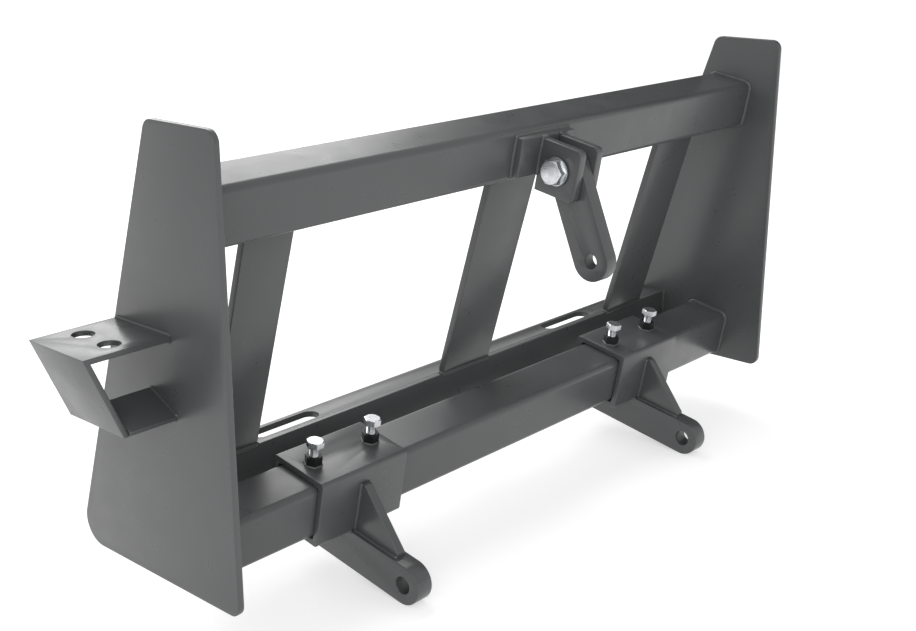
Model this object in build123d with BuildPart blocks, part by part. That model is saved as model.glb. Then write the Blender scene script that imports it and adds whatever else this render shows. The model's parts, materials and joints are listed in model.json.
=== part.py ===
"""Quick coupler frame: a loader attaches at the back, a three-point implement at the front.

Two side plates carry an upper and a lower square tube. Three leaning struts stand on a
slotted lock rail at the back and hold up the upper tube. Two carriages slide along the lower
tube and are held by set bolts, a top link swings in a clevis on the upper tube, and a folded
bracket on the left side plate carries hose couplings.

Axes: +X to the right seen from the front, +Y to the back (the loader side), +Z up. The origin
is on the ledge, in the middle of the lock rail's flat top. All sizes are in millimetres and
degrees.
"""
from build123d import *
import os
from math import atan, cos, radians, sin, tan

# ---- side plates ----
frame_width = 1080.0         # over the outer faces of the two side plates
plate_height = 520.0
plate_base = 293.0           # depth of a side plate along its bottom edge
plate_top = 110.0            # depth of a side plate along its top edge
plate_thickness = 8.0
plate_corner = 14.0          # both top corners and the front bottom corner
plate_heel = 30.0            # rear bottom corner

# ---- the two square tubes ----
tube_size = 70.0
tube_wall = 5.0
tube_corner = 9.0
tube_tilt = 10.5             # both tubes are turned this far, their tops sloping to the front
lower_tube_y = 101.5         # tube centres, behind the plates' front edge
upper_tube_y = 85.0
lower_tube_foot = 11.0       # underside of the lower tube above the plates' bottom edge
upper_tube_drop = 96.0       # upper tube's centre below the plates' top edge

# ---- struts and lock rail ----
strut_lean = 16.5            # the struts lean forward towards the top
strut_thickness = 10.0
left_strut_width = 72.0
left_strut_x = -393.0        # centre of a strut from the middle of the frame
middle_strut_width = 96.0
middle_strut_x = 27.0        # the middle strut stands under the top link
right_strut_width = 92.0
right_strut_x = 414.0
ledge_height = 91.0          # top of the rail above the plates' bottom edge
ledge_setback = 33.5         # rear edge of the ledge, in front of the plates' slanted edge
ledge_depth = 44.0           # the rail's flat top, web and ledge together
rail_thickness = 8.0         # of the web and of the ledge
rail_web_height = 68.0
slot_length = 108.0
slot_width = 25.0
slot_x = 291.0               # centre of a slot from the middle of the frame
slot_edge = 7.0              # metal left behind each slot

# ---- hook plate behind the upper tube ----
hook_thickness = 8.0
hook_throat = 14.0           # gap between the tube and the turned-down lip
hook_rise = 10.0             # top of the hook plate above the tube's centre
hook_lip = 36.0              # height of the turned-down lip
hook_bend = 6.0              # outer radius of the bend

# ---- sliding carriages on the lower tube ----
carriage_x = 300.0           # centre of a carriage from the middle of the frame
carriage_width = 140.0
sleeve_wall = 8.0
sleeve_gap = 0.5             # clearance between the sleeve and the tube, each side
sleeve_corner = 5.0
sleeve_bore_corner = 2.5
arm_thickness = 25.0
arm_height = 50.0
arm_reach = 134.0            # from the tube's centre forward to the eye
eye_radius = 11.0
gusset_thickness = 12.0
gusset_base = 72.0
gusset_height = 67.0
gusset_nose = 6.0            # blunt ends of the gusset

# ---- set bolts ----
bolt_radius = 6.0
bolt_gap = 0.08              # radial running clearance in the nut
bolt_hole_gap = 0.5          # radial clearance in the sleeve's drilled hole
bolt_point = 1.2             # chamfer at the bolt's tip
bolt_spacing = 94.0
bolt_exposed = 12.0          # bare shank between the nut and the head
bolt_tip_gap = 0.3
bolt_head_height = 8.0
hex_flats = 19.0
nut_height = 12.0

# ---- top link, its clevis and its pin ----
pad_width = 105.0
pad_x = 17.0                 # middle of the pad from the middle of the frame
pad_thickness = 12.0
clevis_x = 27.0              # middle of the clevis from the middle of the frame
ear_thickness = 12.0
ear_nose = 31.5              # ear's front edge, in front of the pin's centre
ear_below = 46.0             # ear's lower edge below the upper tube's centre
ear_above = 23.0             # ear's upper edge above the upper tube's centre
ear_corner = 8.0
link_thickness = 20.0
link_side_gap = 1.5          # between the link and each ear
link_end_gap = 4.5           # between the link's round end and the pad
link_width = 54.0
link_length = 121.0
link_eye_radius = 9.75
link_angle = 22.0            # hangs forward of straight down
pin_radius = 10.0
pin_gap = 0.06               # radial running clearance in the link
pin_flats = 30.0
pin_head_height = 12.5
pin_nut_height = 16.0
pin_thread = 5.0             # thread showing past the nut
washer_radius = 18.5
washer_thickness = 3.0

# ---- hose coupling bracket on the left side plate ----
shelf_reach = 105.0          # out from the side plate
shelf_depth = 98.0
shelf_height = 297.0         # top of the shelf above the plates' bottom edge
shelf_setback = 2.5          # shelf's rear edge, in front of the plate's slanted edge
bracket_thickness = 6.0
web_drop = 94.0              # from the top of the shelf to the foot of the slanted web
web_inset = 40.0             # the web's foot is this much closer to the side plate
shelf_hole_radius = 12.0
shelf_hole_spacing = 47.0
shelf_hole_x = 57.0          # out from the side plate
tie_depth = 50.0             # the tie plate's length along its slope
tie_angle = 27.0



def plate_depth_at(height):
    """How deep a side plate is, front edge to slanted back edge, at a height above its foot."""
    return plate_base - (plate_base - plate_top) * height / plate_height


# ---- places worked out from the sizes above ----
front_y = ledge_setback + ledge_depth / 2 - plate_depth_at(ledge_height)
floor_z = -ledge_height
inner_x = frame_width / 2 - plate_thickness
half_tube = tube_size / 2
sleeve_inner = half_tube + sleeve_gap
sleeve_outer = sleeve_inner + sleeve_wall
lower_tube = (front_y + lower_tube_y, floor_z + lower_tube_foot + half_tube)
upper_tube = (front_y + upper_tube_y, floor_z + plate_height - upper_tube_drop)
web_corner = (-ledge_depth / 2, 0.0)
pad_face = half_tube + pad_thickness
pin_forward = pad_face + link_width / 2 + link_end_gap
ear_length = link_width / 2 + link_end_gap + ear_nose
shelf_top = floor_z + shelf_height
shelf_front = front_y + plate_depth_at(shelf_height) - shelf_setback - shelf_depth
web_lean = atan(web_inset / web_drop)
web_step = bracket_thickness / cos(web_lean)
pin_down = (ear_below - ear_above) / 2
SIDES = (("left", -1), ("right", 1))


def section_plane(x, centre, tilt=0.0):
    """A plane at x for drawing side views: its x axis runs to the back, its y axis up."""
    return Plane(
        origin=(x, centre[0], centre[1]),
        x_dir=(0, cos(radians(tilt)), sin(radians(tilt))),
        z_dir=(1, 0, 0),
    )


def tilted_point(centre, back, up, tilt):
    """The (y, z) place that lies back and up from a centre along tilted axes."""
    turn = radians(tilt)
    return (
        centre[0] + back * cos(turn) - up * sin(turn),
        centre[1] + back * sin(turn) + up * cos(turn),
    )


def lift_to_tube(back):
    """How far up the leaning strut, at a given place across it, the upper tube's underside is."""
    low = tilted_point(web_corner, back, 0.0, strut_lean)
    turn = radians(tube_tilt)
    height = -(low[0] - upper_tube[0]) * sin(turn) + (low[1] - upper_tube[1]) * cos(turn)
    return (-half_tube - height) / cos(radians(strut_lean - tube_tilt))


def save(piece, name):
    """Label a finished piece and write it to its own STEP file."""
    piece.part.label = name
    export_step(piece.part, f"parts/{name}.step")


def make_side_plates():
    """Flat plates with an upright front edge and a slanted back edge."""
    for side, sign in SIDES:
        start = -frame_width / 2 if sign < 0 else inner_x
        with BuildPart() as side_plate:
            with BuildSketch(section_plane(start, (front_y, floor_z))):
                with BuildLine():
                    Polyline(
                        (0, 0),
                        (plate_base, 0),
                        (plate_top, plate_height),
                        (0, plate_height),
                        close=True,
                    )
                make_face()
            extrude(amount=plate_thickness)
            upright = side_plate.edges().filter_by(Axis.X)
            heel = upright.sort_by(Axis.Y)[-1]
            fillet([edge for edge in upright if edge != heel], plate_corner)
            heel_again = side_plate.edges().filter_by(Axis.X).sort_by(Axis.Y)[-1]
            fillet(heel_again, plate_heel)
        save(side_plate, f"{side}_side_plate")


def make_tubes():
    """Square tubes that reach from one side plate to the other."""
    for name, centre in (("upper_tube", upper_tube), ("lower_tube", lower_tube)):
        with BuildPart() as tube:
            with BuildSketch(section_plane(-inner_x, centre, tube_tilt)):
                RectangleRounded(tube_size, tube_size, tube_corner)
                bore = tube_size - 2 * tube_wall
                RectangleRounded(bore, bore, tube_corner - tube_wall, mode=Mode.SUBTRACT)
            extrude(amount=2 * inner_x)
        save(tube, name)


def make_struts():
    """Flat bars that stand on the rail's web, trimmed flush behind it, and lean to the tube."""
    struts = (
        ("left_strut", left_strut_x, left_strut_width),
        ("middle_strut", middle_strut_x, middle_strut_width),
        ("right_strut", right_strut_x, right_strut_width),
    )
    for name, centre_x, width in struts:
        start = centre_x - width / 2
        with BuildPart() as strut:
            with BuildSketch(section_plane(start, web_corner, strut_lean)):
                with BuildLine():
                    Polyline(
                        (0, 0),
                        (0, lift_to_tube(0.0)),
                        (strut_thickness, lift_to_tube(strut_thickness)),
                        (strut_thickness, -strut_thickness * tan(radians(strut_lean))),
                        close=True,
                    )
                make_face()
            extrude(amount=width)
            with BuildSketch(section_plane(start, web_corner)):
                with Locations((rail_thickness, 0)):
                    Rectangle(ledge_depth, ledge_depth, align=Align.MIN)
            extrude(amount=width, mode=Mode.SUBTRACT)
        save(strut, name)


def make_lock_rail():
    """Rail across the back: an upright web bar and, flush behind its top, a slotted ledge bar."""
    with BuildPart() as rail_web:
        with BuildSketch(section_plane(-inner_x, web_corner)):
            Rectangle(rail_thickness, rail_web_height, align=(Align.MIN, Align.MAX))
        extrude(amount=2 * inner_x)
    save(rail_web, "rail_web")
    ledge_width = ledge_depth - rail_thickness
    with BuildPart() as lock_ledge:
        with BuildSketch(section_plane(-inner_x, web_corner)):
            with Locations((rail_thickness, 0)):
                Rectangle(ledge_width, rail_thickness, align=(Align.MIN, Align.MAX))
        extrude(amount=2 * inner_x)
        slot_y = ledge_depth / 2 - slot_edge - slot_width / 2
        with BuildSketch(Plane.XY):
            with Locations((-slot_x, slot_y), (slot_x, slot_y)):
                SlotOverall(slot_length, slot_width)
        extrude(amount=-rail_thickness, mode=Mode.SUBTRACT)
    save(lock_ledge, "lock_ledge")


def make_hook_plate():
    """Plate behind the upper tube, turned down so that a loader's upper edge hooks under it."""
    far = half_tube + hook_throat + hook_thickness
    with BuildPart() as hook_plate:
        with BuildSketch(section_plane(-inner_x, upper_tube, tube_tilt)):
            with BuildLine():
                Polyline(
                    (half_tube, hook_rise),
                    (far, hook_rise),
                    (far, hook_rise - hook_lip),
                    (far - hook_thickness, hook_rise - hook_lip),
                    (far - hook_thickness, hook_rise - hook_thickness),
                    (half_tube, hook_rise - hook_thickness),
                    close=True,
                )
            make_face()
        extrude(amount=2 * inner_x)
        bend = hook_plate.edges().filter_by(Axis.X).sort_by(Axis.Y)[-2:].sort_by(Axis.Z)[-1]
        fillet(bend, hook_bend)
    save(hook_plate, "hook_plate")


def make_sleeve(side, centre_x):
    """Square sleeve that slides along the lower tube, drilled for its two set bolts."""
    with BuildPart() as sleeve:
        with BuildSketch(section_plane(centre_x - carriage_width / 2, lower_tube, tube_tilt)):
            RectangleRounded(2 * sleeve_outer, 2 * sleeve_outer, sleeve_corner)
            bore = 2 * sleeve_inner
            RectangleRounded(bore, bore, sleeve_bore_corner, mode=Mode.SUBTRACT)
        extrude(amount=carriage_width)
        with BuildSketch(bolt_plane(centre_x, sleeve_outer)):
            with GridLocations(bolt_spacing, 0, 2, 1):
                Circle(bolt_radius + bolt_hole_gap)
        extrude(amount=-2 * sleeve_wall, mode=Mode.SUBTRACT)
    save(sleeve, f"{side}_sleeve")


def bolt_plane(centre_x, height):
    """A plane square to the set bolts, at a height above the lower tube's centre."""
    place = tilted_point(lower_tube, 0.0, height, tube_tilt)
    turn = radians(tube_tilt)
    return Plane(
        origin=(centre_x, place[0], place[1]),
        x_dir=(1, 0, 0),
        z_dir=(0, -sin(turn), cos(turn)),
    )


def make_arm(side, centre_x):
    """Flat bar welded under the sleeve, with a round end and an eye for the hitch ball."""
    centre_height = -sleeve_outer - arm_height / 2
    with BuildPart() as arm:
        plane = section_plane(centre_x - arm_thickness / 2, lower_tube, tube_tilt)
        with BuildSketch(plane):
            length = arm_reach + sleeve_outer
            with Locations((sleeve_outer - length / 2, centre_height)):
                Rectangle(length, arm_height)
            with Locations((-arm_reach, centre_height)):
                Circle(arm_height / 2)
                Circle(eye_radius, mode=Mode.SUBTRACT)
        extrude(amount=arm_thickness)
    save(arm, f"{side}_lower_arm")


def make_gusset(side, centre_x):
    """Triangular web that stands on the arm against the front of the sleeve."""
    with BuildPart() as gusset:
        plane = section_plane(centre_x - gusset_thickness / 2, lower_tube, tube_tilt)
        with BuildSketch(plane):
            with BuildLine():
                Polyline(
                    (-sleeve_outer, -sleeve_outer),
                    (-sleeve_outer, -sleeve_outer + gusset_height),
                    (-sleeve_outer - gusset_nose, -sleeve_outer + gusset_height),
                    (-sleeve_outer - gusset_base, -sleeve_outer + gusset_nose),
                    (-sleeve_outer - gusset_base, -sleeve_outer),
                    close=True,
                )
            make_face()
        extrude(amount=gusset_thickness)
    save(gusset, f"{side}_arm_gusset")


def make_weld_nuts(side, centre_x):
    """Long hexagon nuts welded on top of the sleeve, one for each set bolt."""
    with BuildPart() as nuts:
        with BuildSketch(bolt_plane(centre_x, sleeve_outer)):
            with GridLocations(bolt_spacing, 0, 2, 1):
                RegularPolygon(hex_flats / 2, 6, major_radius=False)
                Circle(bolt_radius + bolt_gap, mode=Mode.SUBTRACT)
        extrude(amount=nut_height)
    save(nuts, f"{side}_weld_nuts")


def make_set_bolts(side, sign, centre_x):
    """Hexagon bolts that pass through the weld nuts and bear on the lower tube."""
    tip = half_tube + bolt_tip_gap
    shank = sleeve_outer + nut_height + bolt_exposed - tip
    for place, along in (("outer", sign), ("inner", -sign)):
        x = centre_x + along * bolt_spacing / 2
        with BuildPart() as bolt:
            with BuildSketch(bolt_plane(x, tip)):
                Circle(bolt_radius)
            extrude(amount=shank)
            with BuildSketch(bolt_plane(x, tip + shank)):
                RegularPolygon(hex_flats / 2, 6, major_radius=False)
            extrude(amount=bolt_head_height)
            point = bolt.faces().sort_by(Axis.Z)[0]
            chamfer(point.edges(), bolt_point)
        save(bolt, f"{side}_{place}_set_bolt")


def make_carriages():
    """Two mirrored carriages, each with its sleeve, arm, gusset, nuts and set bolts."""
    for side, sign in SIDES:
        centre_x = sign * carriage_x
        make_sleeve(side, centre_x)
        make_arm(side, centre_x)
        make_gusset(side, centre_x)
        make_weld_nuts(side, centre_x)
        make_set_bolts(side, sign, centre_x)


def make_link_pad():
    """Doubler plate on the front of the upper tube that carries the clevis."""
    with BuildPart() as link_pad:
        start = pad_x - pad_width / 2
        with BuildSketch(section_plane(start, upper_tube, tube_tilt)):
            with Locations((-half_tube - pad_thickness / 2, 0)):
                Rectangle(pad_thickness, tube_size - 2 * tube_corner)
        extrude(amount=pad_width)
    save(link_pad, "link_pad")


def ear_start(sign):
    """The lower x face of the left (-1) or right (+1) clevis ear."""
    gap = link_thickness / 2 + link_side_gap
    return clevis_x - gap - ear_thickness if sign < 0 else clevis_x + gap


def make_clevis_ears():
    """Two upright ears on the pad with the link's pin through the middle of each."""
    for side, sign in SIDES:
        with BuildPart() as ear:
            with BuildSketch(section_plane(ear_start(sign), upper_tube, tube_tilt)):
                with Locations((-pad_face - ear_length / 2, -pin_down)):
                    Rectangle(ear_length, ear_below + ear_above)
                with Locations((-pin_forward, -pin_down)):
                    Circle(pin_radius, mode=Mode.SUBTRACT)
            extrude(amount=ear_thickness)
            front = ear.edges().filter_by(Axis.X).sort_by(Axis.Y)
            fillet([front[0], front[1]], ear_corner)
        save(ear, f"{side}_clevis_ear")


def pin_centre():
    """Where the link's pin crosses a side view."""
    return tilted_point(upper_tube, -pin_forward, -pin_down, tube_tilt)


def make_top_link():
    """Flat link with round ends that swings on the pin and ends in an eye."""
    with BuildPart() as top_link:
        plane = section_plane(clevis_x - link_thickness / 2, pin_centre(), -link_angle)
        with BuildSketch(plane):
            with Locations((0, -link_length / 2)):
                Rectangle(link_width, link_length)
            with Locations((0, 0), (0, -link_length)):
                Circle(link_width / 2)
            Circle(pin_radius + pin_gap, mode=Mode.SUBTRACT)
            with Locations((0, -link_length)):
                Circle(link_eye_radius, mode=Mode.SUBTRACT)
        extrude(amount=link_thickness)
    save(top_link, "top_link")


def make_link_pin():
    """Hexagon bolt through both ears, with a washer on each side and a nut on the right."""
    left_face = ear_start(-1)
    right_face = ear_start(1) + ear_thickness
    grip = right_face - left_face + 2 * washer_thickness
    start = left_face - washer_thickness
    with BuildPart() as link_pin:
        with BuildSketch(section_plane(start, pin_centre(), tube_tilt)):
            Circle(pin_radius)
        extrude(amount=grip + pin_nut_height + pin_thread)
        with BuildSketch(section_plane(start - pin_head_height, pin_centre(), tube_tilt)):
            RegularPolygon(pin_flats / 2, 6, major_radius=False)
        extrude(amount=pin_head_height)
    save(link_pin, "link_pin")
    with BuildPart() as pin_washers:
        for face in (start, right_face):
            with BuildSketch(section_plane(face, pin_centre())):
                Circle(washer_radius)
                Circle(pin_radius, mode=Mode.SUBTRACT)
            extrude(amount=washer_thickness)
    save(pin_washers, "link_pin_washers")
    with BuildPart() as pin_nut:
        with BuildSketch(section_plane(right_face + washer_thickness, pin_centre(), tube_tilt)):
            RegularPolygon(pin_flats / 2, 6, major_radius=False)
            Circle(pin_radius, mode=Mode.SUBTRACT)
        extrude(amount=pin_nut_height)
    save(pin_nut, "link_pin_nut")


def make_hose_bracket():
    """Folded plate: a level shelf with two coupling holes and a web slanting in below it."""
    root = -frame_width / 2
    outer = root - shelf_reach
    foot = outer + web_inset
    under = shelf_top - bracket_thickness
    with BuildPart() as hose_bracket:
        with BuildSketch(Plane.XZ.offset(-shelf_front - shelf_depth)):
            with BuildLine():
                Polyline(
                    (root, shelf_top),
                    (outer, shelf_top),
                    (foot, shelf_top - web_drop),
                    (foot + web_step, shelf_top - web_drop),
                    (outer + web_step + bracket_thickness * tan(web_lean), under),
                    (root, under),
                    close=True,
                )
            make_face()
        extrude(amount=shelf_depth)
        with BuildSketch(Plane.XY.offset(shelf_top)):
            with Locations((root - shelf_hole_x, shelf_front + shelf_depth / 2)):
                with GridLocations(0, shelf_hole_spacing, 1, 2):
                    Circle(shelf_hole_radius)
        extrude(amount=-bracket_thickness, mode=Mode.SUBTRACT)
    save(hose_bracket, "hose_bracket")


def make_bracket_tie():
    """Sloping plate that ties the foot of the bracket's web back to the side plate."""
    turn = radians(tie_angle)
    plane = Plane(
        origin=(-frame_width / 2, shelf_front, shelf_top - web_drop),
        x_dir=(-1, 0, 0),
        z_dir=(0, -sin(turn), cos(turn)),
    )
    reach = shelf_reach - web_inset - web_step
    widening = tie_depth * sin(turn) * tan(web_lean)
    with BuildPart() as bracket_tie:
        with BuildSketch(plane):
            with BuildLine():
                Polyline(
                    (0, 0),
                    (reach, 0),
                    (reach + widening, -tie_depth),
                    (0, -tie_depth),
                    close=True,
                )
            make_face()
        extrude(amount=bracket_thickness)
    save(bracket_tie, "bracket_tie")


os.makedirs("parts", exist_ok=True)
make_side_plates()
make_tubes()
make_struts()
make_lock_rail()
make_hook_plate()
make_carriages()
make_link_pad()
make_clevis_ears()
make_top_link()
make_link_pin()
make_hose_bracket()
make_bracket_tie()
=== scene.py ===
"""Looks of a quick coupler frame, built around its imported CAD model.

The coupler is welded from plate, flat bar and square tube, sprayed with a semi-gloss dark grey
enamel, and carries zinc plated set bolts, a zinc plated hitch pin and blackened nuts. Each
painted steel piece is a copy of its CAD node with its cut edges broken, each fastener is
modelled with its chamfers and thread, and every seam gets its weld bead.

All sizes are in millimetres and degrees; MM turns them to Blender's metres.
"""
import json
import logging
from dataclasses import dataclass, field
from enum import Enum
from math import cos, pi, radians, sin, tan
from typing import Any

import bpy
from mathutils import Matrix, Quaternion, Vector

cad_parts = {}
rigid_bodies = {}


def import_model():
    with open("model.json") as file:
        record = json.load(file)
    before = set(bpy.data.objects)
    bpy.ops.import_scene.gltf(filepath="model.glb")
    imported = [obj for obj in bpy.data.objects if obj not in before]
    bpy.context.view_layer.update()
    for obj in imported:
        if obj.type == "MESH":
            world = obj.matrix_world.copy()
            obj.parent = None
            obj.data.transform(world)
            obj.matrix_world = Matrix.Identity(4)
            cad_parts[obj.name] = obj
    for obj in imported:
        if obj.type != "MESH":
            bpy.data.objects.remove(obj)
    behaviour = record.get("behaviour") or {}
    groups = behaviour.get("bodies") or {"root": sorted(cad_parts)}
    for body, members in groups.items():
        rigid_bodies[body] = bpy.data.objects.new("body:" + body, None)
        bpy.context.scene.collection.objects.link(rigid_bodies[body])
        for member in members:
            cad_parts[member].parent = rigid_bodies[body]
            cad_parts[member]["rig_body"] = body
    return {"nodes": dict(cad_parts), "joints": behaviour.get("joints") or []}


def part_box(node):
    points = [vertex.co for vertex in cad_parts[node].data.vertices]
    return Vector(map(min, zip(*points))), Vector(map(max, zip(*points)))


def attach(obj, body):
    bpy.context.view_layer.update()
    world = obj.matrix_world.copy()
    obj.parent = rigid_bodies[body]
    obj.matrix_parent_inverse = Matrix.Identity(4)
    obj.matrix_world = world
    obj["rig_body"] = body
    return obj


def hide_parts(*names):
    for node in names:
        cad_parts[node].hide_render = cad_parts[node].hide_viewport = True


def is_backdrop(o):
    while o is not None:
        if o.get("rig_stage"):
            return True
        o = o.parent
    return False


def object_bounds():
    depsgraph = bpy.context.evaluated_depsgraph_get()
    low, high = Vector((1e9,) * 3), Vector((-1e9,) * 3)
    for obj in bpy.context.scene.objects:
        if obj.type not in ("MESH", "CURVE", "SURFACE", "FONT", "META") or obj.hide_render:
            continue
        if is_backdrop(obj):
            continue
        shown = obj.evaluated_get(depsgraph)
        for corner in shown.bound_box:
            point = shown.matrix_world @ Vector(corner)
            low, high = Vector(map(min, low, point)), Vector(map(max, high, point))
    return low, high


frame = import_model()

MM = 0.001
log = logging.getLogger("quick_coupler")
SidePoint = tuple[float, float]


# ---------------------------------------------------------------- small tools

def linear(colour: str) -> tuple[float, float, float, float]:
    """Turn an sRGB hex colour to the linear values that a shader socket takes.

    Args:
        colour: Six hex digits after a hash sign.

    Returns:
        Linear red, green and blue, and an alpha of 1.
    """
    parts = [int(colour[place:place + 2], 16) / 255 for place in (1, 3, 5)]
    turned = [p / 12.92 if p <= 0.04045 else ((p + 0.055) / 1.055) ** 2.4 for p in parts]
    return (*turned, 1.0)


def add_node(tree: bpy.types.NodeTree, kind: str, inputs: dict[str, Any] | None = None,
             **settings: Any) -> bpy.types.Node:
    """Add a node with its settings, its values and its links.

    Args:
        tree: The node tree to add to.
        kind: The node's type name.
        inputs: Input socket names, each with a value or with the socket that feeds it.
        **settings: The node's own properties.

    Returns:
        The new node.
    """
    node = tree.nodes.new(kind)
    for name, value in settings.items():
        setattr(node, name, value)
    for name, value in (inputs or {}).items():
        if isinstance(value, bpy.types.NodeSocket):
            tree.links.new(value, node.inputs[name])
        else:
            node.inputs[name].default_value = value
    return node


def activate(piece: bpy.types.Object) -> None:
    """Deselect everything, then select one piece and make it active."""
    bpy.ops.object.select_all(action="DESELECT")
    piece.select_set(True)
    bpy.context.view_layer.objects.active = piece


def apply_modifier(piece: bpy.types.Object, kind: str, **settings: Any) -> None:
    """Put a modifier on a piece and apply it.

    Args:
        piece: The piece to change.
        kind: The modifier's type name.
        **settings: The modifier's own properties.
    """
    activate(piece)
    modifier = piece.modifiers.new(kind.title(), kind)
    for name, value in settings.items():
        setattr(modifier, name, value)
    bpy.ops.object.modifier_apply(modifier=modifier.name)


def smooth(piece: bpy.types.Object, angle: float = 32.0) -> None:
    """Shade a piece smooth except over edges sharper than an angle in degrees."""
    activate(piece)
    bpy.ops.object.shade_smooth_by_angle(angle=radians(angle))


def place(piece: bpy.types.Object, origin: Vector, axis: Vector) -> None:
    """Turn a piece built along Z so that it runs along an axis from an origin.

    Args:
        piece: A piece built at the world's origin, upright along Z.
        origin: Where its own origin goes, in metres.
        axis: The direction its Z goes in.
    """
    turn = axis.to_track_quat("Z", "X").to_matrix().to_4x4()
    piece.matrix_world = Matrix.Translation(origin) @ turn
    activate(piece)
    bpy.ops.object.transform_apply(location=True, rotation=True, scale=True)


def join(pieces: list[bpy.types.Object], name: str) -> bpy.types.Object:
    """Join several pieces into one, which gets the name.

    Args:
        pieces: Mesh pieces, all with their origins at the world's origin.
        name: The joined piece's name.

    Returns:
        The joined piece.
    """
    activate(pieces[0])
    for piece in pieces:
        piece.select_set(True)
    if len(pieces) > 1:
        bpy.ops.object.join()
    whole = bpy.context.view_layer.objects.active
    whole.name = name
    whole.data.name = name
    return whole


# ---------------------------------------------------------------- finishes

class Slot(Enum):
    """The record's material slots."""

    PAINT = "grey_paint"
    ZINC = "zinc_plate"
    BLACK = "black_oxide"


@dataclass(frozen=True)
class Enamel:
    """Semi-gloss enamel sprayed over hot-rolled steel.

    Sprayed paint gives the eye an even dark grey, a soft sheen that brightens where it is seen
    flat, a very fine orange peel, and faint cloudiness where the coats differ.
    """

    name: str = "semi_gloss_grey_enamel"
    colour: str = "#444546"
    cloud_colour: str = "#4b4c4d"
    cloud_mm: float = 170.0
    peel_mm: float = 3.0
    peel_height_mm: float = 0.007
    handling_mm: float = 34.0
    gloss: float = 0.26
    dullest: float = 0.36
    ior: float = 1.5

    def material(self) -> bpy.types.Material:
        """Build the enamel's material."""
        made = bpy.data.materials.new(self.name)
        made.use_nodes = True
        tree = made.node_tree
        tree.nodes.clear()
        place_on = add_node(tree, "ShaderNodeTexCoord").outputs["Object"]
        cloud = add_node(tree, "ShaderNodeTexNoise", {
            "Vector": place_on, "Scale": 1 / (self.cloud_mm * MM), "Detail": 3.0})
        tone = add_node(tree, "ShaderNodeMix", {
            "Factor": cloud.outputs["Fac"],
            "A": linear(self.colour), "B": linear(self.cloud_colour)}, data_type="RGBA")
        handling = add_node(tree, "ShaderNodeTexNoise", {
            "Vector": place_on, "Scale": 1 / (self.handling_mm * MM), "Detail": 6.0,
            "Roughness": 0.6, "Distortion": 0.4})
        sheen = add_node(tree, "ShaderNodeMapRange", {
            "Value": handling.outputs["Fac"], "From Min": 0.3, "From Max": 0.7,
            "To Min": self.gloss, "To Max": self.dullest})
        peel = add_node(tree, "ShaderNodeTexNoise", {
            "Vector": place_on, "Scale": 1 / (self.peel_mm * MM), "Detail": 2.0})
        bump = add_node(tree, "ShaderNodeBump", {
            "Height": peel.outputs["Fac"], "Distance": self.peel_height_mm * MM,
            "Strength": 0.6})
        shader = add_node(tree, "ShaderNodeBsdfPrincipled", {
            "Base Color": tone.outputs["Result"], "Roughness": sheen.outputs["Result"],
            "IOR": self.ior, "Normal": bump.outputs["Normal"]})
        add_node(tree, "ShaderNodeOutputMaterial", {"Surface": shader.outputs["BSDF"]})
        return made


@dataclass(frozen=True)
class PlatedSteel:
    """Turned or rolled steel under a thin metal or oxide coat.

    Bright zinc plate gives the eye a clean silver with a soft, slightly uneven shine from its
    passivated skin. Black oxide is the same turned surface, near black and duller.
    """

    name: str
    colour: str
    stain: str
    brightest: float
    dullest: float
    metallic: float = 1.0
    stain_mm: float = 9.0
    grain_mm: float = 1.2
    grain_height_mm: float = 0.01

    def material(self) -> bpy.types.Material:
        """Build the plated metal's material."""
        made = bpy.data.materials.new(self.name)
        made.use_nodes = True
        tree = made.node_tree
        tree.nodes.clear()
        place_on = add_node(tree, "ShaderNodeTexCoord").outputs["Object"]
        patches = add_node(tree, "ShaderNodeTexNoise", {
            "Vector": place_on, "Scale": 1 / (self.stain_mm * MM), "Detail": 4.0})
        tone = add_node(tree, "ShaderNodeMix", {
            "Factor": patches.outputs["Fac"],
            "A": linear(self.colour), "B": linear(self.stain)}, data_type="RGBA")
        shine = add_node(tree, "ShaderNodeMapRange", {
            "Value": patches.outputs["Fac"], "From Min": 0.3, "From Max": 0.7,
            "To Min": self.brightest, "To Max": self.dullest})
        grain = add_node(tree, "ShaderNodeTexNoise", {
            "Vector": place_on, "Scale": 1 / (self.grain_mm * MM), "Detail": 1.0})
        bump = add_node(tree, "ShaderNodeBump", {
            "Height": grain.outputs["Fac"], "Distance": self.grain_height_mm * MM,
            "Strength": 0.5})
        shader = add_node(tree, "ShaderNodeBsdfPrincipled", {
            "Base Color": tone.outputs["Result"], "Roughness": shine.outputs["Result"],
            "Metallic": self.metallic, "Normal": bump.outputs["Normal"]})
        add_node(tree, "ShaderNodeOutputMaterial", {"Surface": shader.outputs["BSDF"]})
        return made


@dataclass
class Finishes:
    """The object's three finishes, each with its material made once."""

    paint: bpy.types.Material = field(default_factory=lambda: Enamel().material())
    zinc: bpy.types.Material = field(default_factory=lambda: PlatedSteel(
        "bright_zinc_plate", "#d9dbdd", "#c4c7ca", brightest=0.20, dullest=0.34).material())
    black: bpy.types.Material = field(default_factory=lambda: PlatedSteel(
        "black_oxide_steel", "#1b1b1c", "#2a2a2b", brightest=0.34, dullest=0.5,
        metallic=0.6).material())

    def dress(self, piece: bpy.types.Object, slot: Slot) -> None:
        """Give a piece the finish of a slot."""
        chosen = {Slot.PAINT: self.paint, Slot.ZINC: self.zinc, Slot.BLACK: self.black}[slot]
        piece.data.materials.clear()
        piece.data.materials.append(chosen)


# ---------------------------------------------------------------- the frame's places

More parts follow.
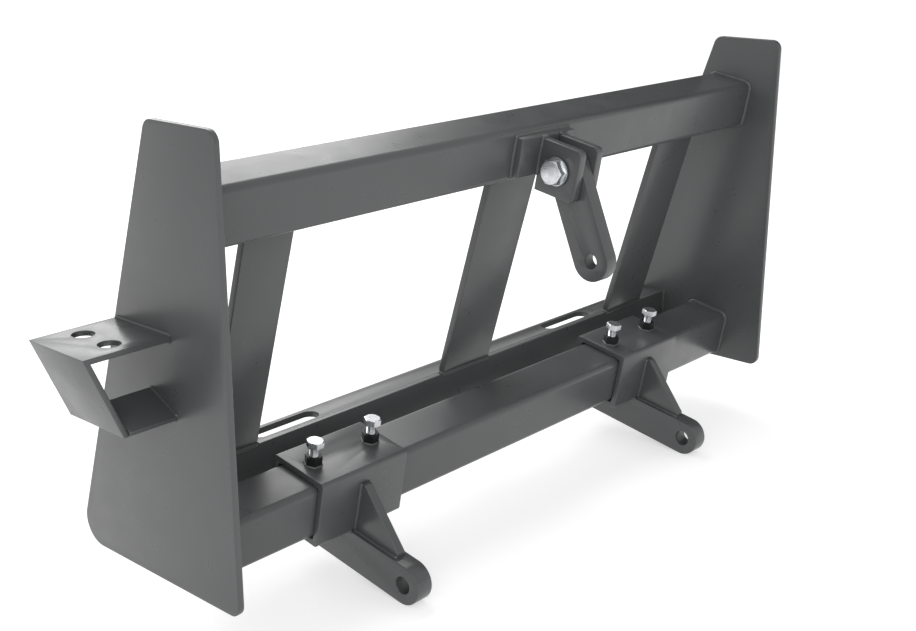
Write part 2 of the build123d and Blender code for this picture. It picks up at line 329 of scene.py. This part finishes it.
@dataclass(frozen=True)
class SideView:
    """Tilted side-view axes about a centre: back and up turn to world places."""

    centre_y: float
    centre_z: float
    tilt: float

    def at(self, x: float, back: float, up: float) -> Vector:
        """World place, in metres, of a side-view point in millimetres at x in metres."""
        turn = radians(self.tilt)
        return Vector((
            x,
            self.centre_y + (back * cos(turn) - up * sin(turn)) * MM,
            self.centre_z + (back * sin(turn) + up * cos(turn)) * MM,
        ))


def middle(node: str) -> Vector:
    """The middle of a CAD node's box, in metres."""
    low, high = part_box(node)
    return (low + high) / 2


def tube_view(node: str, tilt: float) -> SideView:
    """Side-view axes about a tube's centre line."""
    centre = middle(node)
    return SideView(centre.y, centre.z, tilt)


def span_along(node: str, axis: Vector) -> tuple[Vector, float]:
    """Where a straight, even CAD node starts along an axis, and how long it is.

    Args:
        node: A CAD node that is even about the axis.
        axis: The unit direction.

    Returns:
        The centre of its lower end, and its length, in metres.
    """
    points = [vertex.co for vertex in frame["nodes"][node].data.vertices]
    across = axis.cross(Vector((1, 0, 0))) if abs(axis.x) < 0.5 else Vector((0, 0, 1))
    third = axis.cross(across)
    ranges = []
    for direction in (axis, across, third):
        values = [point.dot(direction) for point in points]
        ranges.append((min(values), max(values)))
    (start, end), (c0, c1), (d0, d1) = ranges
    origin = axis * start + across * (c0 + c1) / 2 + third * (d0 + d1) / 2
    return origin, end - start


# ---------------------------------------------------------------- painted steel

@dataclass
class PaintedSteel:
    """Plates, bars and tubes: copies of CAD nodes with their cut edges broken.

    The sizes after the tilt say where the holes are: the arm's eye in front of and below the
    lower tube's centre, the link's eye above its free end, the bracket's holes out from the
    side plate, and the slots in front of the ledge's rear edge.
    """

    finishes: Finishes
    edge_mm: dict[str, float] = field(default_factory=lambda: {
        "left_side_plate": 1.2, "right_side_plate": 1.2,
        "upper_tube": 0.6, "lower_tube": 0.6,
        "left_strut": 1.0, "middle_strut": 1.0, "right_strut": 1.0,
        "rail_web": 0.3, "lock_ledge": 0.3, "hook_plate": 0.8,
        "left_sleeve": 0.9, "right_sleeve": 0.9,
        "left_lower_arm": 1.0, "right_lower_arm": 1.0,
        "left_arm_gusset": 1.0, "right_arm_gusset": 1.0,
        "link_pad": 1.2, "left_clevis_ear": 1.0, "right_clevis_ear": 1.0,
        "top_link": 0.9, "hose_bracket": 0.7, "bracket_tie": 0.7,
    })
    sharp: float = 38.0
    weld_distance_mm: float = 0.004
    tilt: float = 10.5
    arm_reach: float = 134.0
    arm_drop: float = 68.5
    link_end: float = 27.0
    shelf_hole_x: float = 57.0
    slot_edge: float = 7.0
    slot_width: float = 25.0

    def make(self) -> None:
        """Make every painted piece and hide the node that it stands for."""
        for node, edge in self.edge_mm.items():
            piece = self.soften(node, edge)
            self.finishes.dress(piece, Slot.PAINT)
            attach(piece, frame["nodes"][node]["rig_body"])
            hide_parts(node)
            log.info("painted steel: %s", piece.name)

    def soften(self, node: str, edge: float) -> bpy.types.Object:
        """Copy a node, close its mesh and round its sharp edges.

        Args:
            node: The CAD node to copy.
            edge: Width of the broken edge in millimetres.

        Returns:
            The new piece.
        """
        activate(frame["nodes"][node])
        bpy.ops.object.duplicate()
        piece = bpy.context.view_layer.objects.active
        piece.name = f"{node}_painted"
        piece.parent = None
        for key in list(piece.keys()):
            del piece[key]
        piece.matrix_world = Matrix.Identity(4)
        activate(piece)
        bpy.ops.mesh.customdata_custom_splitnormals_clear()
        bpy.ops.object.mode_set(mode="EDIT")
        bpy.ops.mesh.select_all(action="SELECT")
        bpy.ops.mesh.remove_doubles(threshold=self.weld_distance_mm * MM)
        for point, across in self.hole_planes(node):
            bpy.ops.mesh.select_all(action="SELECT")
            bpy.ops.mesh.bisect(plane_co=point, plane_no=across)
            bpy.ops.mesh.mark_seam()
        bpy.ops.mesh.select_all(action="SELECT")
        bpy.ops.mesh.dissolve_limited(angle_limit=radians(0.3), delimit={"SEAM"})
        bpy.ops.object.mode_set(mode="OBJECT")
        apply_modifier(piece, "BEVEL", width=edge * MM, segments=3, limit_method="ANGLE",
                       angle_limit=radians(self.sharp), use_clamp_overlap=False)
        smooth(piece)
        return piece

    def hole_planes(self, node: str) -> list[tuple[Vector, Vector]]:
        """Planes that halve a node's holes, so that no flat face goes all round one.

        Args:
            node: The CAD node.

        Returns:
            A point and a normal for each plane, none where the node has no hole.
        """
        low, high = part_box(node)
        across_arm, upright, sideways = Vector((0, 1, 0)), Vector((0, 0, 1)), Vector((1, 0, 0))
        tilt = radians(self.tilt)
        along_tube = tube_view("lower_tube", self.tilt)
        if node.endswith("lower_arm"):
            return [(along_tube.at(0, -self.arm_reach, -self.arm_drop), across_arm)]
        if node.endswith("clevis_ear") or node == "top_link":
            planes = [(middle("link_pin"), upright)]
            if node == "top_link":
                planes.append((Vector((0, 0, low.z + self.link_end * MM)), upright))
            return planes
        if node.endswith("sleeve"):
            return [(along_tube.at(0, 0, 0), Vector((0, cos(tilt), sin(tilt))))]
        if node == "hose_bracket":
            return [(Vector((high.x - self.shelf_hole_x * MM, 0, 0)), sideways)]
        if node == "lock_ledge":
            slot = high.y - (self.slot_edge + self.slot_width / 2) * MM
            return [(Vector((0, slot, 0)), across_arm)]
        return []


# ---------------------------------------------------------------- fasteners

@dataclass
class HexSolid:
    """A hexagon prism with the turned chamfer that a bolt head or a nut has."""

    flats: float
    height: float
    bore: float = 0.0
    both_ends: bool = False
    chamfer_slope: float = 30.0
    face_share: float = 0.97
    cone_sides: int = 64

    def make(self, name: str) -> bpy.types.Object:
        """Build it upright on the world's origin.

        Args:
            name: The piece's name.

        Returns:
            The new piece.
        """
        corner = self.flats / 2 / cos(radians(30.0))
        bpy.ops.mesh.primitive_cylinder_add(
            vertices=6, radius=corner * MM, depth=self.height * MM,
            location=(0, 0, self.height / 2 * MM))
        piece = bpy.context.view_layer.objects.active
        piece.name = name
        bpy.ops.object.transform_apply(location=True, rotation=True, scale=True)
        slope = tan(radians(self.chamfer_slope))
        rim = self.flats / 2 * self.face_share
        for end in ((1, -1) if self.both_ends else (1,)):
            reach = self.height
            radius = rim + reach / slope
            bpy.ops.mesh.primitive_cone_add(
                vertices=self.cone_sides, radius1=radius * MM, radius2=rim * MM,
                depth=reach * MM, location=(0, 0, reach / 2 * MM))
            cone = bpy.context.view_layer.objects.active
            if end < 0:
                cone.rotation_euler.x = pi
            self.cut(piece, cone, "INTERSECT")
        if self.bore:
            bpy.ops.mesh.primitive_cylinder_add(
                vertices=self.cone_sides, radius=self.bore / 2 * MM,
                depth=self.height * 2 * MM, location=(0, 0, self.height / 2 * MM))
            self.cut(piece, bpy.context.view_layer.objects.active, "DIFFERENCE")
        return piece

    @staticmethod
    def cut(piece: bpy.types.Object, tool: bpy.types.Object, how: str) -> None:
        """Cut a piece with a tool and remove the tool."""
        apply_modifier(piece, "BOOLEAN", object=tool, operation=how, solver="EXACT")
        bpy.data.objects.remove(tool)


@dataclass
class ThreadedRod:
    """A rod whose surface is grooved at the pitch of its thread."""

    diameter: float
    length: float
    pitch: float
    depth_share: float = 0.6
    sides: int = 32

    def make(self, name: str) -> bpy.types.Object:
        """Build it upright on the world's origin.

        Args:
            name: The piece's name.

        Returns:
            The new piece.
        """
        turns = max(2, round(self.length / self.pitch))
        step = self.length / turns * MM
        crest = self.diameter / 2
        root = (crest - self.pitch * self.depth_share) / crest
        bpy.ops.mesh.primitive_circle_add(vertices=self.sides, radius=crest * root * MM)
        piece = bpy.context.view_layer.objects.active
        piece.name = name
        bpy.ops.object.mode_set(mode="EDIT")
        for rise, grow in ((step / 2, 1 / root), (step / 2, root)):
            bpy.ops.mesh.select_all(action="DESELECT")
            select_highest(piece)
            bpy.ops.mesh.extrude_region_move(TRANSFORM_OT_translate={"value": (0, 0, rise)})
            bpy.ops.transform.resize(value=(grow, grow, 1), center_override=(0, 0, 0))
        bpy.ops.object.mode_set(mode="OBJECT")
        apply_modifier(piece, "ARRAY", count=turns, use_relative_offset=False,
                       use_constant_offset=True, constant_offset_displace=(0, 0, step),
                       use_merge_vertices=True, merge_threshold=step / 20)
        close_holes(piece)
        return piece


def select_highest(piece: bpy.types.Object, slack: float = 1e-6) -> None:
    """In edit mode, select only a mesh's highest vertices and the edges between them."""
    bpy.ops.object.mode_set(mode="OBJECT")
    top = max(vertex.co.z for vertex in piece.data.vertices)
    chosen = [vertex.co.z > top - slack for vertex in piece.data.vertices]
    for vertex, pick in zip(piece.data.vertices, chosen):
        vertex.select = pick
    for edge in piece.data.edges:
        edge.select = all(chosen[index] for index in edge.vertices)
    for face in piece.data.polygons:
        face.select = False
    bpy.ops.object.mode_set(mode="EDIT")


def close_holes(piece: bpy.types.Object) -> None:
    """Fill a piece's open ends and turn its faces outwards."""
    activate(piece)
    bpy.ops.object.mode_set(mode="EDIT")
    bpy.ops.mesh.select_all(action="SELECT")
    bpy.ops.mesh.fill_holes(sides=0)
    bpy.ops.mesh.select_all(action="SELECT")
    bpy.ops.mesh.normals_make_consistent(inside=False)
    bpy.ops.object.mode_set(mode="OBJECT")


@dataclass
class SetBolts:
    """Four hexagon set bolts in long weld nuts, two on each carriage."""

    finishes: Finishes
    shank: float = 12.0
    pitch: float = 1.75
    head: float = 8.0
    flats: float = 19.0

    def make(self) -> None:
        """Make the bolts and the nuts of both carriages."""
        for joint in frame["joints"]:
            if joint["name"].endswith("set_bolt_travel"):
                bolt = joint["name"].removesuffix("_travel")
                self.make_bolt(bolt, joint["child"], Vector(joint["axis"]))
        for side in ("left", "right"):
            self.make_nuts(side)

    def make_bolt(self, node: str, body: str, axis: Vector) -> None:
        """Make one bolt: a threaded shank under a chamfered head."""
        tip, length = span_along(node, axis)
        shank = ThreadedRod(self.shank, length / MM - self.head / 2, self.pitch).make("shank")
        head = HexSolid(self.flats, self.head).make("head")
        head.location.z = length - self.head * MM
        activate(head)
        bpy.ops.object.transform_apply(location=True, rotation=True, scale=True)
        bolt = join([shank, head], f"{node}_threaded")
        smooth(bolt, 25.0)
        place(bolt, tip, axis)
        self.finishes.dress(bolt, Slot.ZINC)
        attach(bolt, body)
        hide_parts(node)
        log.info("set bolt: %s", bolt.name)

    def make_nuts(self, side: str) -> None:
        """Make one carriage's two weld nuts round their bolts."""
        axis = next(Vector(joint["axis"]) for joint in frame["joints"]
                    if joint["name"].startswith(f"{side}_outer_set_bolt"))
        start, height = span_along(f"{side}_weld_nuts", axis)
        nuts = []
        for where in ("outer", "inner"):
            tip, _ = span_along(f"{side}_{where}_set_bolt", axis)
            nut = HexSolid(self.flats, height / MM, self.shank).make("nut")
            foot = tip + axis * (start - tip).dot(axis)
            place(nut, foot, axis)
            nuts.append(nut)
        both = join(nuts, f"{side}_weld_nuts_chamfered")
        smooth(both, 25.0)
        self.finishes.dress(both, Slot.BLACK)
        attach(both, f"{side}_carriage")
        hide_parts(f"{side}_weld_nuts")
        log.info("weld nuts: %s", both.name)


@dataclass
class LinkPin:
    """The hexagon bolt that the top link swings on, with its washers and nut."""

    finishes: Finishes
    shank: float = 20.0
    pitch: float = 2.5
    head: float = 12.5
    flats: float = 30.0
    washer: float = 3.0
    washer_edge: float = 0.6
    washer_sides: int = 72

    def make(self) -> None:
        """Make the pin, the washers and the nut."""
        axis = Vector((1, 0, 0))
        start, length = span_along("link_pin", axis)
        rod = ThreadedRod(self.shank, length / MM - self.head / 2, self.pitch).make("rod")
        rod.location.z = self.head / 2 * MM
        head = HexSolid(self.flats, self.head).make("head")
        head.rotation_euler.x = pi
        head.location.z = self.head * MM
        for part in (rod, head):
            activate(part)
            bpy.ops.object.transform_apply(location=True, rotation=True, scale=True)
        pin = join([rod, head], "link_pin_bolt")
        smooth(pin, 25.0)
        place(pin, start, axis)
        self.finish(pin, Slot.ZINC, "link_pin")
        low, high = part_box("link_pin_washers")
        washers = [self.make_washer(start, x) for x in (low.x, high.x - self.washer * MM)]
        self.finish(join(washers, "link_pin_washer_pair"), Slot.ZINC, "link_pin_washers")
        foot, height = span_along("link_pin_nut", axis)
        nut = HexSolid(self.flats, height / MM, self.shank, both_ends=True).make("pin_nut")
        smooth(nut, 25.0)
        place(nut, foot, axis)
        self.finish(nut, Slot.BLACK, "link_pin_nut")

    def make_washer(self, line: Vector, x: float) -> bpy.types.Object:
        """Make one washer whose left face is at x, round the pin's centre line."""
        low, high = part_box("link_pin_washers")
        radius = (high.z - low.z) / 2
        bpy.ops.mesh.primitive_cylinder_add(
            vertices=self.washer_sides, radius=radius, depth=self.washer * MM,
            location=(0, 0, self.washer / 2 * MM))
        washer = bpy.context.view_layer.objects.active
        washer.name = "washer"
        bpy.ops.mesh.primitive_cylinder_add(
            vertices=self.washer_sides, radius=self.shank / 2 * MM,
            depth=self.washer * 3 * MM)
        HexSolid.cut(washer, bpy.context.view_layer.objects.active, "DIFFERENCE")
        apply_modifier(washer, "BEVEL", width=self.washer_edge * MM, segments=2,
                       limit_method="ANGLE", angle_limit=radians(60))
        smooth(washer, 40.0)
        place(washer, Vector((x, line.y, line.z)), Vector((1, 0, 0)))
        return washer

    def finish(self, piece: bpy.types.Object, slot: Slot, node: str) -> None:
        """Dress one of the pin's pieces and let it stand for its node."""
        self.finishes.dress(piece, slot)
        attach(piece, "frame")
        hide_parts(node)
        log.info("link pin: %s", piece.name)


# ---------------------------------------------------------------- weld beads

@dataclass
class WeldBead:
    """A fillet weld's bead: overlapping ripples laid one after another along a seam.

    The ripples are drawn a little coarser than a real bead's, so that they show.
    """

    radius: float = 4.0
    ripple: float = 2.8
    shrink: float = 0.90
    lip_share: float = 0.001
    end_taper: float = 0.6
    ring_merge_share: float = 0.02
    sides: int = 12

    def lay(self, seam: list[Vector], closed: bool = False) -> bpy.types.Object:
        """Lay one bead.

        Args:
            seam: Points along the seam, in metres.
            closed: Whether the last point joins the first.

        Returns:
            The bead.
        """
        ends = seam + [seam[0]] if closed else seam
        length = sum((b - a).length for a, b in zip(ends, ends[1:]))
        count = max(3, round(length / (self.ripple * MM)))
        step = length / count
        bpy.ops.object.select_all(action="DESELECT")
        bpy.ops.mesh.primitive_circle_add(vertices=self.sides, radius=self.radius * MM)
        bead = bpy.context.view_layer.objects.active
        bpy.ops.object.mode_set(mode="EDIT")
        for rise, grow in ((step * (1 - self.lip_share), self.shrink),
                           (step * self.lip_share, 1 / self.shrink)):
            bpy.ops.mesh.select_all(action="DESELECT")
            select_highest(bead)
            bpy.ops.mesh.extrude_region_move(TRANSFORM_OT_translate={"value": (0, 0, rise)})
            bpy.ops.transform.resize(value=(grow, grow, 1), center_override=(0, 0, 0))
        bpy.ops.object.mode_set(mode="OBJECT")
        apply_modifier(bead, "ARRAY", count=count, use_relative_offset=False,
                       use_constant_offset=True, constant_offset_displace=(0, 0, step),
                       use_merge_vertices=True, merge_threshold=step * self.lip_share / 2)
        if not closed:
            for vertex in bead.data.vertices:
                if vertex.co.z < step / 2 or vertex.co.z > length - step / 2:
                    vertex.co.x *= self.end_taper
                    vertex.co.y *= self.end_taper
        path = self.seam_path(seam, closed)
        apply_modifier(bead, "CURVE", object=path, deform_axis="POS_Z")
        bpy.data.objects.remove(path)
        if closed:
            activate(bead)
            bpy.ops.object.mode_set(mode="EDIT")
            bpy.ops.mesh.select_all(action="SELECT")
            bpy.ops.mesh.remove_doubles(threshold=step * self.ring_merge_share)
            bpy.ops.object.mode_set(mode="OBJECT")
        close_holes(bead)
        return bead

    @staticmethod
    def seam_path(seam: list[Vector], closed: bool) -> bpy.types.Object:
        """Make the guide curve that a bead is bent along."""
        curve = bpy.data.curves.new("seam", "CURVE")
        curve.dimensions = "3D"
        line = curve.splines.new("POLY")
        line.points.add(len(seam) - 1)
        for point, here in zip(line.points, seam):
            point.co = (*here, 1.0)
        line.use_cyclic_u = closed
        guide = bpy.data.objects.new("seam", curve)
        bpy.context.scene.collection.objects.link(guide)
        return guide


@dataclass
class FrameWelds:
    """All the welds of the frame and of the two carriages."""

    finishes: Finishes
    tilt: float = 10.5
    half_tube: float = 35.0
    tube_corner: float = 9.0
    corner_points: int = 4
    strut_lean: float = 16.5
    strut_thickness: float = 10.0
    pad_thickness: float = 12.0
    pad_half_height: float = 26.0
    ear_top: float = 23.0
    rail_thickness: float = 8.0
    hook_rise: float = 10.0
    hook_end_bead: float = 16.0
    stitch: float = 45.0
    stitch_gap: float = 140.0
    sleeve_half: float = 43.5
    gusset_half: float = 6.0
    gusset_rise: float = 67.0
    gusset_reach: float = 72.0
    arm_half: float = 12.5
    nut_flats: float = 19.0
    bracket_thickness: float = 6.0
    tie_angle: float = 27.0

    def make(self) -> None:
        """Lay every bead and let each group ride on its body."""
        groups = {
            "tube_welds": ("frame", self.tube_seams()),
            "strut_welds": ("frame", self.strut_seams()),
            "rail_welds": ("frame", self.rail_seams()),
            "hook_plate_welds": ("frame", self.hook_seams()),
            "clevis_welds": ("frame", self.clevis_seams()),
            "hose_bracket_welds": ("frame", self.bracket_seams()),
        }
        for side in ("left", "right"):
            groups[f"{side}_carriage_welds"] = (f"{side}_carriage", self.carriage_seams(side))
        for name, (body, beads) in groups.items():
            welds = join(beads, name)
            smooth(welds, 40.0)
            self.finishes.dress(welds, Slot.PAINT)
            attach(welds, body)
            log.info("welds: %s", name)

    def tube_seams(self) -> list[bpy.types.Object]:
        """Beads round both tubes' ends, where they meet the side plates."""
        bead = WeldBead(radius=4.0)
        loops = []
        flat = self.half_tube - self.tube_corner
        for node in ("upper_tube", "lower_tube"):
            view = tube_view(node, self.tilt)
            low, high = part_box(node)
            for x in (low.x, high.x):
                ring = []
                for quarter, (sx, sz) in enumerate(((1, 1), (-1, 1), (-1, -1), (1, -1))):
                    for step in range(self.corner_points + 1):
                        turn = pi / 2 * (quarter + step / self.corner_points)
                        ring.append(view.at(x, sx * flat + self.tube_corner * cos(turn),
                                            sz * flat + self.tube_corner * sin(turn)))
                loops.append(bead.lay(ring, closed=True))
        return loops

    def strut_top(self, back: float) -> Vector:
        """Where a line up a strut, a given way across it, meets the upper tube's underside."""
        rail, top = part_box("rail_web")
        lean = radians(self.strut_lean)
        start = Vector((0, rail.y + back * MM / cos(lean), top.z))
        along = Vector((0, -sin(lean), cos(lean)))
        turn = radians(self.tilt)
        normal = Vector((0, -sin(turn), cos(turn)))
        under = tube_view("upper_tube", self.tilt).at(0, 0, -self.half_tube)
        return start + along * ((under - start).dot(normal) / along.dot(normal))

    def strut_seams(self) -> list[bpy.types.Object]:
        """Beads round each strut's top and along the front and sides of its foot."""
        bead = WeldBead(radius=3.2, ripple=2.4)
        rail_low, rail_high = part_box("rail_web")
        front, back = self.strut_top(0.0), self.strut_top(self.strut_thickness)
        beads = []
        for node in ("left_strut", "middle_strut", "right_strut"):
            low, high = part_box(node)
            ring = [Vector((x, p.y, p.z)) for x, p in
                    ((low.x, front), (high.x, front), (high.x, back), (low.x, back))]
            beads.append(bead.lay(ring, closed=True))
            foot = [Vector((x, y, rail_high.z)) for x, y in
                    ((low.x, rail_high.y), (low.x, rail_low.y),
                     (high.x, rail_low.y), (high.x, rail_high.y))]
            beads.append(bead.lay(foot))
        return beads

    def stitches(self, bead: WeldBead, x0: float, x1: float, y: float,
                 z: float) -> list[bpy.types.Object]:
        """Short beads at even spacing along a straight seam across the frame."""
        pitch = (self.stitch + self.stitch_gap) * MM
        count = int((x1 - x0) / pitch)
        first = (x0 + x1) / 2 - (count - 1) * pitch / 2
        half = self.stitch * MM / 2
        return [bead.lay([Vector((first + n * pitch - half, y, z)),
                          Vector((first + n * pitch + half, y, z))]) for n in range(count)]

    def rail_seams(self) -> list[bpy.types.Object]:
        """Beads at the rail's ends, and stitches under the seam of its web and ledge."""
        bead = WeldBead(radius=3.5)
        low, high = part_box("rail_web")
        _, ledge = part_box("lock_ledge")
        under = high.z - self.rail_thickness * MM
        beads = self.stitches(bead, low.x, high.x, high.y, under)
        for x in (low.x, high.x):
            beads.append(bead.lay([Vector((x, low.y, low.z)), Vector((x, low.y, high.z))]))
            beads.append(bead.lay([Vector((x, high.y, low.z)), Vector((x, high.y, under)),
                                   Vector((x, ledge.y, under))]))
        return beads

    def hook_seams(self) -> list[bpy.types.Object]:
        """Stitches along the hook plate's seams with the upper tube, and its end beads."""
        bead = WeldBead(radius=3.5)
        view = tube_view("upper_tube", self.tilt)
        low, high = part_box("hook_plate")
        seam = view.at(0, self.half_tube, self.hook_rise)
        beads = self.stitches(bead, low.x, high.x, seam.y, seam.z)
        for x in (low.x, high.x):
            beads.append(bead.lay([view.at(x, self.half_tube, self.hook_rise),
                                   view.at(x, self.half_tube + self.hook_end_bead,
                                           self.hook_rise)]))
        return beads

    def clevis_seams(self) -> list[bpy.types.Object]:
        """A bead round the pad, and beads on the outer side and top of each ear."""
        view = tube_view("upper_tube", self.tilt)
        low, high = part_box("link_pad")
        bead = WeldBead(radius=3.5)
        ring = [view.at(x, -self.half_tube, up) for x, up in
                ((low.x, -self.pad_half_height), (high.x, -self.pad_half_height),
                 (high.x, self.pad_half_height), (low.x, self.pad_half_height))]
        beads = [bead.lay(ring, closed=True)]
        face = -self.half_tube - self.pad_thickness
        for node, outer, inner in (("left_clevis_ear", 0, 1), ("right_clevis_ear", 1, 0)):
            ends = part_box(node)
            beads.append(bead.lay([
                view.at(ends[inner].x, face, self.ear_top),
                view.at(ends[outer].x, face, self.ear_top),
                view.at(ends[outer].x, face, -self.pad_half_height)]))
        return beads

    def bracket_seams(self) -> list[bpy.types.Object]:
        """Beads that hold the hose bracket and its tie to the left side plate."""
        bead = WeldBead(radius=2.6, ripple=2.2)
        low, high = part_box("hose_bracket")
        tie_low, tie_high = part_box("bracket_tie")
        thick = self.bracket_thickness * MM
        lean = radians(self.tie_angle)
        beads = [bead.lay([Vector((high.x, low.y, z)), Vector((high.x, high.y, z))])
                 for z in (high.z, high.z - thick)]
        rise = Vector((0, -sin(lean), cos(lean))) * thick
        foot = Vector((tie_high.x, tie_low.y, tie_low.z)) - Vector((0, rise.y, 0))
        run = Vector((0, tie_high.y - foot.y, tie_high.z - rise.z - foot.z))
        beads += [bead.lay([foot + lift, foot + lift + run])
                  for lift in (Vector(), rise)]
        return beads

    def carriage_seams(self, side: str) -> list[bpy.types.Object]:
        """Beads between one carriage's sleeve, arm, gusset and nuts."""
        view = tube_view("lower_tube", self.tilt)
        centre = middle(f"{side}_sleeve").x
        sleeve = self.sleeve_half
        bead = WeldBead(radius=3.2, ripple=2.4)
        beads = []
        for sign in (-1, 1):
            x = centre + sign * self.gusset_half * MM
            beads.append(bead.lay([
                view.at(x, -sleeve, self.gusset_rise - sleeve),
                view.at(x, -sleeve, -sleeve),
                view.at(x, -sleeve - self.gusset_reach, -sleeve)]))
        near, far = centre - self.arm_half * MM, centre + self.arm_half * MM
        beads.append(bead.lay([
            view.at(near, -sleeve, -sleeve), view.at(near, sleeve, -sleeve),
            view.at(far, sleeve, -sleeve), view.at(far, -sleeve, -sleeve)]))
        small = WeldBead(radius=1.8, ripple=2.0, sides=10)
        corner = self.nut_flats / 2 / cos(radians(30.0))
        for where in ("outer", "inner"):
            x = middle(f"{side}_{where}_set_bolt").x
            ring = [view.at(x + corner * cos(pi / 3 * n) * MM, corner * sin(pi / 3 * n), sleeve)
                    for n in range(6)]
            beads.append(small.lay(ring, closed=True))
        return beads


# ---------------------------------------------------------------- floor, light and camera

def away_from_object(azimuth: float, elevation: float) -> Vector:
    """The unit direction from the world's origin at an azimuth and elevation in degrees."""
    turn, rise = radians(azimuth), radians(elevation)
    return Vector((cos(rise) * cos(turn), cos(rise) * sin(turn), sin(rise)))


@dataclass(frozen=True)
class Softbox:
    """A soft rectangular studio light that points at the object."""

    name: str
    azimuth: float
    elevation: float
    distance: float
    width: float
    height: float
    radiance: float
    roll: float = 0.0

    def make(self) -> None:
        """Put the light up. Its power follows from its size and the radiance it shows."""
        lamp = bpy.data.lights.new(self.name, "AREA")
        lamp.shape = "RECTANGLE"
        lamp.size, lamp.size_y = self.width, self.height
        lamp.energy = self.radiance * pi * self.width * self.height
        bulb = bpy.data.objects.new(self.name, lamp)
        bpy.context.scene.collection.objects.link(bulb)
        away = away_from_object(self.azimuth, self.elevation)
        bulb.location = away * self.distance
        aim = away.to_track_quat("Z", "Y") @ Quaternion((0, 0, 1), radians(self.roll))
        bulb.rotation_euler = aim.to_euler()
        bulb.visible_camera = False


@dataclass(frozen=True)
class Flag:
    """A black panel beside the object that keeps light out of its reflections."""

    name: str
    azimuth: float
    elevation: float
    distance: float
    width: float
    height: float

    def make(self) -> None:
        """Stand the panel up. It only shows in reflections."""
        bpy.ops.mesh.primitive_plane_add(size=1)
        panel = bpy.context.view_layer.objects.active
        panel.name = self.name
        panel.scale = (self.width, self.height, 1)
        away = away_from_object(self.azimuth, self.elevation)
        panel.location = away * self.distance
        panel.rotation_euler = away.to_track_quat("Z", "Y").to_euler()
        cloth = bpy.data.materials.new("black_flag_cloth")
        cloth.use_nodes = True
        shader = cloth.node_tree.nodes["Principled BSDF"]
        shader.inputs["Base Color"].default_value = linear("#0a0a0a")
        shader.inputs["Roughness"].default_value = 1.0
        panel.data.materials.append(cloth)
        panel.visible_camera = False
        panel.visible_diffuse = False
        panel.visible_shadow = False
        panel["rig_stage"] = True


@dataclass
class Studio:
    """A plain white studio: floor, even surrounding light, softboxes and the camera."""

    floor_metres: float = 240.0
    floor_colour: str = "#d2d2d2"
    floor_glow: float = 0.50
    surround: float = 0.80
    camera_place: tuple[float, float, float] = (-1.3082, -1.2025, 0.6398)
    camera_back: tuple[float, float, float] = (-0.7073, -0.6390, 0.3024)
    lens_mm: float = 52.18
    shift_x: float = 0.0061
    softboxes: tuple[Softbox, ...] = (
        Softbox("back_left_softbox", 70.0, 46.0, 3.4, 3.1, 3.0, 3.1, roll=37.0),
        Softbox("left_front_softbox", 222.0, 26.0, 3.6, 2.0, 1.8, 2.6),
    )
    flags: tuple[Flag, ...] = (
        Flag("back_right_flag", 8.0, 26.0, 3.0, 3.2, 2.4),
    )

    def make(self, floor_height: float) -> None:
        """Build the studio round an object that stands at a floor height in metres."""
        self.make_floor(floor_height)
        self.make_light()
        self.make_camera()

    def make_floor(self, height: float) -> None:
        """Lay the pale floor."""
        bpy.ops.mesh.primitive_plane_add(size=self.floor_metres, location=(0, 0, height))
        floor = bpy.context.view_layer.objects.active
        floor.name = "studio_floor"
        paper = bpy.data.materials.new("white_backdrop_paper")
        paper.use_nodes = True
        shader = paper.node_tree.nodes["Principled BSDF"]
        shader.inputs["Base Color"].default_value = linear(self.floor_colour)
        shader.inputs["Roughness"].default_value = 1.0
        shader.inputs["Specular IOR Level"].default_value = 0.0
        shader.inputs["Emission Color"].default_value = (1, 1, 1, 1)
        shader.inputs["Emission Strength"].default_value = self.floor_glow
        floor.data.materials.append(paper)
        floor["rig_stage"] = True

    def make_light(self) -> None:
        """Light the object from all round, and from the softboxes."""
        world = bpy.data.worlds.new("studio_surround")
        world.use_nodes = True
        world.node_tree.nodes["Background"].inputs["Color"].default_value = (1, 1, 1, 1)
        world.node_tree.nodes["Background"].inputs["Strength"].default_value = self.surround
        bpy.context.scene.world = world
        for light in (*self.softboxes, *self.flags):
            light.make()

    def make_camera(self) -> None:
        """Put the camera where it sees the left end and the front."""
        lens = bpy.data.cameras.new("camera")
        lens.lens = self.lens_mm
        lens.shift_x = self.shift_x
        camera = bpy.data.objects.new("camera", lens)
        camera.location = self.camera_place
        camera.rotation_euler = Vector(self.camera_back).to_track_quat("Z", "Y").to_euler()
        bpy.context.scene.collection.objects.link(camera)
        bpy.context.scene.camera = camera
        bpy.context.scene.view_settings.view_transform = "Standard"


def main() -> None:
    """Build the coupler's looks and the studio."""
    logging.basicConfig(level=logging.INFO, format="%(message)s")
    cad_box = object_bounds()
    finishes = Finishes()
    PaintedSteel(finishes).make()
    SetBolts(finishes).make()
    LinkPin(finishes).make()
    FrameWelds(finishes).make()
    Studio().make(cad_box[0].z)


if __name__ == "__main__":
    main()
